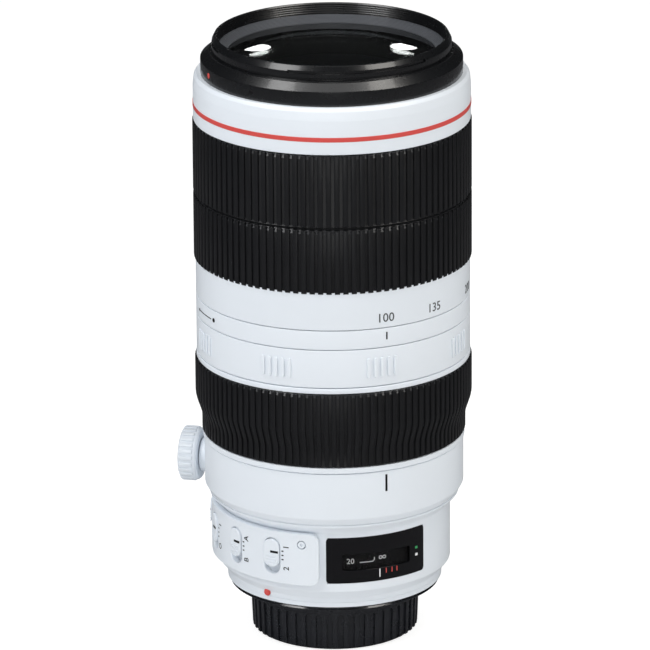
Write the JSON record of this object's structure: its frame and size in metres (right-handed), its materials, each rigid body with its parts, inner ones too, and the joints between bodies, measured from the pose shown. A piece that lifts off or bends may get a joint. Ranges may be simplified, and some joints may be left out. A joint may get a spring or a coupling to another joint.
{
  "type": "camera zoom lens",
  "caption": "White telephoto zoom lens standing on its rear cap, with ribbed rubber zoom and focus rings, a tripod collar with foot, a distance window and slide switches.",
  "frame": {"origin": "centre of the rear cap's bottom face, on the optical axis", "axes": "+Z along the optical axis towards the front lens; the index marks face -Y and the tripod foot +Y"},
  "size_m": [0.0954, 0.1183, 0.2106],
  "materials": {
    "white_paint": "fine satin off-white enamel",
    "black_satin": "satin black",
    "grip_rubber": "matt ribbed rubber",
    "black_anodised": "black anodised",
    "bare_metal": "satin chrome",
    "gold": "gold plated",
    "black_plastic": "moulded black plastic",
    "black_gloss": "gloss black",
    "optical_glass": "coated optical glass",
    "clear_pane": "clear window",
    "board_green": "solder mask",
    "steel": "plain steel"
  },
  "bodies": {
    "barrel": {"outer_barrel": "white_paint", "index_ring": "white_paint", "collar_seat": "white_paint", "guide_barrel": "black_anodised", "rear_housing": "white_paint", "switch_panel": "white_paint", "screws": "steel", "window_bezel": "black_gloss", "window_pane": "clear_pane", "mount_gasket": "grip_rubber", "bayonet_mount": "bare_metal", "contact_block": "black_plastic", "contact_pins": "gold", "main_board": "board_green", "inner_frame": "black_anodised", "rear_glass": "optical_glass", "motor_stator": "steel", "stabiliser_base": "black_plastic", "iris_housing": "black_plastic"},
    "zoom_ring": {"zoom_shell": "white_paint", "zoom_rubber": "grip_rubber", "cam_barrel": "black_anodised"},
    "front_barrel": {"extension_tube": "white_paint", "cam_followers": "steel", "front_band": "white_paint", "hood_mount_ring": "black_satin", "front_cell": "black_satin", "front_glass": "optical_glass"},
    "variator": {"variator_cell": "black_anodised", "variator_glass": "optical_glass"},
    "tension_ring": {"tension_ring": "white_paint"},
    "focus_ring": {"focus_shell": "black_anodised", "focus_rubber": "grip_rubber"},
    "focus_drive": {"motor_rotor": "steel", "distance_scale": "black_satin"},
    "focus_group": {"focus_cell": "black_anodised", "focus_glass": "optical_glass"},
    "stabiliser_frame": {"stabiliser_frame": "black_plastic"},
    "stabiliser_lens": {"stabiliser_cell": "black_plastic", "stabiliser_glass": "optical_glass"},
    "iris_ring": {"iris_ring": "black_anodised"},
    "tripod_collar": {"collar_ring": "white_paint", "tripod_foot": "white_paint"},
    "foot_screw": {"foot_screw": "black_satin"},
    "lock_knob": {"lock_knob": "white_paint"},
    "brake_shoe": {"brake_shoe": "black_plastic"},
    "range_switch": {"range_switch": "white_paint"},
    "focus_switch": {"focus_switch": "white_paint"},
    "stabiliser_switch": {"stabiliser_switch": "white_paint"},
    "mode_switch": {"mode_switch": "white_paint"},
    "rear_cap": {"rear_cap": "black_plastic"},
    "iris_blade_1": {"iris_blade_1": "black_satin"},
    "iris_blade_2": {"iris_blade_2": "black_satin"},
    "iris_blade_3": {"iris_blade_3": "black_satin"},
    "iris_blade_4": {"iris_blade_4": "black_satin"},
    "iris_blade_5": {"iris_blade_5": "black_satin"},
    "iris_blade_6": {"iris_blade_6": "black_satin"},
    "iris_blade_7": {"iris_blade_7": "black_satin"},
    "iris_blade_8": {"iris_blade_8": "black_satin"},
    "iris_blade_9": {"iris_blade_9": "black_satin"}
  },
  "joints": [
    {"name": "zoom_turn", "type": "hinge", "parent": "barrel", "child": "zoom_ring", "pos_m": [0, 0, 0.1208], "axis": [0, 0, -1], "range_deg": [0, 105]},
    {"name": "front_extend", "type": "slide", "parent": "barrel", "child": "front_barrel", "axis": [0, 0, 1], "range_m": [0, 0.078]},
    {"name": "variator_slide", "type": "slide", "parent": "barrel", "child": "variator", "axis": [0, 0, 1], "range_m": [0, 0.015]},
    {"name": "tension_turn", "type": "hinge", "parent": "barrel", "child": "tension_ring", "pos_m": [0, 0, 0.1006], "axis": [0, 0, 1], "range_deg": [0, 60]},
    {"name": "focus_turn", "type": "hinge", "parent": "barrel", "child": "focus_ring", "pos_m": [0, 0, 0.0718], "axis": [0, 0, 1], "range_deg": [0, 130]},
    {"name": "scale_turn", "type": "hinge", "parent": "barrel", "child": "focus_drive", "pos_m": [0, 0, 0.0643], "axis": [0, 0, 1], "range_deg": [0, 130]},
    {"name": "focus_slide", "type": "slide", "parent": "barrel", "child": "focus_group", "axis": [0, 0, 1], "range_m": [0, 0.009]},
    {"name": "shift_x", "type": "slide", "parent": "barrel", "child": "stabiliser_frame", "axis": [1, 0, 0], "range_m": [-0.001, 0.001], "stiffness_N_per_m": 300},
    {"name": "shift_y", "type": "slide", "parent": "stabiliser_frame", "child": "stabiliser_lens", "axis": [0, 1, 0], "range_m": [-0.001, 0.001], "stiffness_N_per_m": 300},
    {"name": "iris_turn", "type": "hinge", "parent": "barrel", "child": "iris_ring", "pos_m": [0, 0, 0.12576], "axis": [0, 0, 1], "range_deg": [0, 4.35]},
    {"name": "collar_turn", "type": "hinge", "parent": "barrel", "child": "tripod_collar", "pos_m": [0, 0, 0.0505], "axis": [0, 0, 1], "continuous": true},
    {"name": "foot_screw_turn", "type": "hinge", "parent": "tripod_collar", "child": "foot_screw", "pos_m": [0.01, 0.05695, 0.0611], "axis": [1, 0, 0], "continuous": true},
    {"name": "knob_turn", "type": "hinge", "parent": "tripod_collar", "child": "lock_knob", "pos_m": [-0.0373, 0.0276, 0.05779], "axis": [0.8039, -0.5948, 0], "range_deg": [0, 270]},
    {"name": "shoe_press", "type": "slide", "parent": "tripod_collar", "child": "brake_shoe", "axis": [0.8039, -0.5948, 0], "range_m": [0, 0.00035]},
    {"name": "range_switch_slide", "type": "slide", "parent": "barrel", "child": "range_switch", "axis": [0, 0, -1], "range_m": [0, 0.002]},
    {"name": "focus_switch_slide", "type": "slide", "parent": "barrel", "child": "focus_switch", "axis": [0, 0, -1], "range_m": [0, 0.002]},
    {"name": "stabiliser_switch_slide", "type": "slide", "parent": "barrel", "child": "stabiliser_switch", "axis": [0, 0, -1], "range_m": [0, 0.002]},
    {"name": "mode_switch_slide", "type": "slide", "parent": "barrel", "child": "mode_switch", "axis": [0, 0, -1], "range_m": [0, 0.004]},
    {"name": "cap_pull", "type": "slide", "parent": "rear_cap", "child": "barrel", "axis": [0, 0, 1], "range_m": [0, 0.025]},
    {"name": "iris_blade_1_turn", "type": "hinge", "parent": "barrel", "child": "iris_blade_1", "pos_m": [0, -0.0285, 0.1215], "axis": [0, 0, 1], "range_deg": [0, 30]},
    {"name": "iris_blade_2_turn", "type": "hinge", "parent": "barrel", "child": "iris_blade_2", "pos_m": [0.01832, -0.02183, 0.1215], "axis": [0, 0, 1], "range_deg": [0, 30]},
    {"name": "iris_blade_3_turn", "type": "hinge", "parent": "barrel", "child": "iris_blade_3", "pos_m": [0.02806, -0.00495, 0.1215], "axis": [0, 0, 1], "range_deg": [0, 30]},
    {"name": "iris_blade_4_turn", "type": "hinge", "parent": "barrel", "child": "iris_blade_4", "pos_m": [0.02468, 0.01425, 0.1215], "axis": [0, 0, 1], "range_deg": [0, 30]},
    {"name": "iris_blade_5_turn", "type": "hinge", "parent": "barrel", "child": "iris_blade_5", "pos_m": [0.00975, 0.02678, 0.1215], "axis": [0, 0, 1], "range_deg": [0, 30]},
    {"name": "iris_blade_6_turn", "type": "hinge", "parent": "barrel", "child": "iris_blade_6", "pos_m": [-0.00975, 0.02678, 0.1215], "axis": [0, 0, 1], "range_deg": [0, 30]},
    {"name": "iris_blade_7_turn", "type": "hinge", "parent": "barrel", "child": "iris_blade_7", "pos_m": [-0.02468, 0.01425, 0.1215], "axis": [0, 0, 1], "range_deg": [0, 30]},
    {"name": "iris_blade_8_turn", "type": "hinge", "parent": "barrel", "child": "iris_blade_8", "pos_m": [-0.02806, -0.00495, 0.1215], "axis": [0, 0, 1], "range_deg": [0, 30]},
    {"name": "iris_blade_9_turn", "type": "hinge", "parent": "barrel", "child": "iris_blade_9", "pos_m": [-0.01832, -0.02183, 0.1215], "axis": [0, 0, 1], "range_deg": [0, 30]}
  ],
  "couplings": [
    {"joint": "front_extend", "follows": "zoom_turn", "m_per_rad": 0.042562},
    {"joint": "variator_slide", "follows": "zoom_turn", "m_per_rad": 0.0081846},
    {"joint": "scale_turn", "follows": "focus_turn", "ratio": 1},
    {"joint": "focus_slide", "follows": "focus_turn", "m_per_rad": 0.0039661},
    {"joint": "shoe_press", "follows": "knob_turn", "m_per_rad": 0.00007422},
    {"joint": "iris_blade_1_turn", "follows": "iris_turn", "ratio": 6.8943},
    {"joint": "iris_blade_2_turn", "follows": "iris_turn", "ratio": 6.8943},
    {"joint": "iris_blade_3_turn", "follows": "iris_turn", "ratio": 6.8943},
    {"joint": "iris_blade_4_turn", "follows": "iris_turn", "ratio": 6.8943},
    {"joint": "iris_blade_5_turn", "follows": "iris_turn", "ratio": 6.8943},
    {"joint": "iris_blade_6_turn", "follows": "iris_turn", "ratio": 6.8943},
    {"joint": "iris_blade_7_turn", "follows": "iris_turn", "ratio": 6.8943},
    {"joint": "iris_blade_8_turn", "follows": "iris_turn", "ratio": 6.8943},
    {"joint": "iris_blade_9_turn", "follows": "iris_turn", "ratio": 6.8943}
  ]
}
